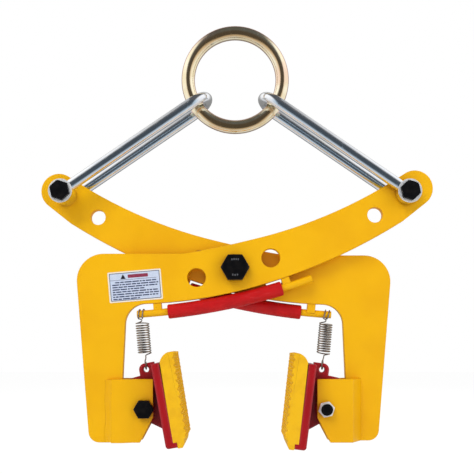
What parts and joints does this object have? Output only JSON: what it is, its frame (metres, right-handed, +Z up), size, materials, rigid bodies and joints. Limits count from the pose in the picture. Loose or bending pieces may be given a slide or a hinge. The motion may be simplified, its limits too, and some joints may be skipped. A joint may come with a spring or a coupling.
{
  "type": "scissor lifting clamp",
  "caption": "Scissor lifting clamp for kerb stones and slabs: a ring and two U-shaped links close crossing hooked arms onto sprung, tilting rubber pads.",
  "frame": {"origin": "centre of the lifting ring, with the clamp hanging half open", "axes": "+Z up along the lifting line, +X across the jaws, +Y along the pivot bolt from the bolt's head towards its nut"},
  "size_m": [0.3818, 0.0679, 0.4107],
  "materials": {
    "yellow_paint": "satin powder coat",
    "red_paint": "satin paint",
    "yellow_chromate": "yellow zinc plating",
    "bright_zinc": "bright zinc plating",
    "black_oxide": "black oxide",
    "spring_steel": "drawn spring wire",
    "bearing_bronze": "sintered bearing",
    "pad_polyurethane": "moulded polyurethane",
    "red_sleeve": "soft moulded sleeve",
    "label_foil": "printed foil"
  },
  "bodies": {
    "ring": {"master_ring": "yellow_chromate"},
    "pivot": {"pivot_bolt": "black_oxide", "pivot_sleeve": "bright_zinc", "arm_spacer": "bright_zinc", "pivot_washer": "bright_zinc", "pivot_nut": "bright_zinc"},
    "front_arm": {"front_arm": "yellow_paint", "front_handle_rod": "yellow_paint", "front_handle_grip": "red_sleeve", "label_plate": "label_foil", "right_link_bush": "bearing_bronze", "left_front_cheek": "yellow_paint", "left_rear_cheek": "yellow_paint", "left_pad_bolt": "black_oxide", "left_pad_nut": "bright_zinc", "left_spring": "spring_steel"},
    "rear_arm": {"rear_arm": "yellow_paint", "rear_handle_rod": "yellow_paint", "rear_handle_grip": "red_sleeve", "left_link_bush": "bearing_bronze", "right_front_cheek": "yellow_paint", "right_rear_cheek": "yellow_paint", "right_pad_bolt": "black_oxide", "right_pad_nut": "bright_zinc", "right_spring": "spring_steel"},
    "right_link": {"right_link": "bright_zinc", "right_link_spacers": "bright_zinc", "right_link_bolt": "black_oxide", "right_link_nut": "black_oxide"},
    "left_link": {"left_link": "bright_zinc", "left_link_spacers": "bright_zinc", "left_link_bolt": "black_oxide", "left_link_nut": "black_oxide"},
    "left_jaw": {"left_pad_carrier": "red_paint", "left_pad": "pad_polyurethane", "left_pad_bush": "bearing_bronze"},
    "right_jaw": {"right_pad_carrier": "red_paint", "right_pad": "pad_polyurethane", "right_pad_bush": "bearing_bronze"}
  },
  "joints": [
    {"name": "arm_swing", "type": "hinge", "parent": "pivot", "child": "front_arm", "pos_m": [0, 0, -0.185], "axis": [0, -1, 0], "range_deg": [-16, 12]},
    {"name": "rear_arm_swing", "type": "hinge", "parent": "pivot", "child": "rear_arm", "pos_m": [0, 0, -0.185], "axis": [0, 1, 0], "range_deg": [-16.5, 12.5]},
    {"name": "pivot_drop", "type": "slide", "parent": "ring", "child": "pivot", "axis": [0, 0, -1], "range_m": [-0.0765, 0.058]},
    {"name": "right_link_swing", "type": "hinge", "parent": "front_arm", "child": "right_link", "pos_m": [0.1659, 0, -0.1129], "axis": [0, 1, 0], "range_deg": [-27.5, 20.7]},
    {"name": "left_link_swing", "type": "hinge", "parent": "rear_arm", "child": "left_link", "pos_m": [-0.1659, 0, -0.1129], "axis": [0, -1, 0], "range_deg": [-27.5, 20.7]},
    {"name": "left_jaw_tilt", "type": "hinge", "parent": "front_arm", "child": "left_jaw", "pos_m": [-0.0875, 0, -0.321], "axis": [0, -1, 0], "range_deg": [-30.3, 3.7], "stiffness_Nm_per_rad": 1.2, "deforming": ["left_spring"]},
    {"name": "right_jaw_tilt", "type": "hinge", "parent": "rear_arm", "child": "right_jaw", "pos_m": [0.0875, 0, -0.321], "axis": [0, 1, 0], "range_deg": [-27.2, 6.8], "stiffness_Nm_per_rad": 1.2, "deforming": ["right_spring"]}
  ],
  "couplings": [
    {"joint": "rear_arm_swing", "follows": "arm_swing", "ratio": 1},
    {"joint": "pivot_drop", "follows": "arm_swing", "m_per_rad": 0.267},
    {"joint": "right_link_swing", "follows": "arm_swing", "ratio": 1.66},
    {"joint": "left_link_swing", "follows": "arm_swing", "ratio": 1.66}
  ]
}
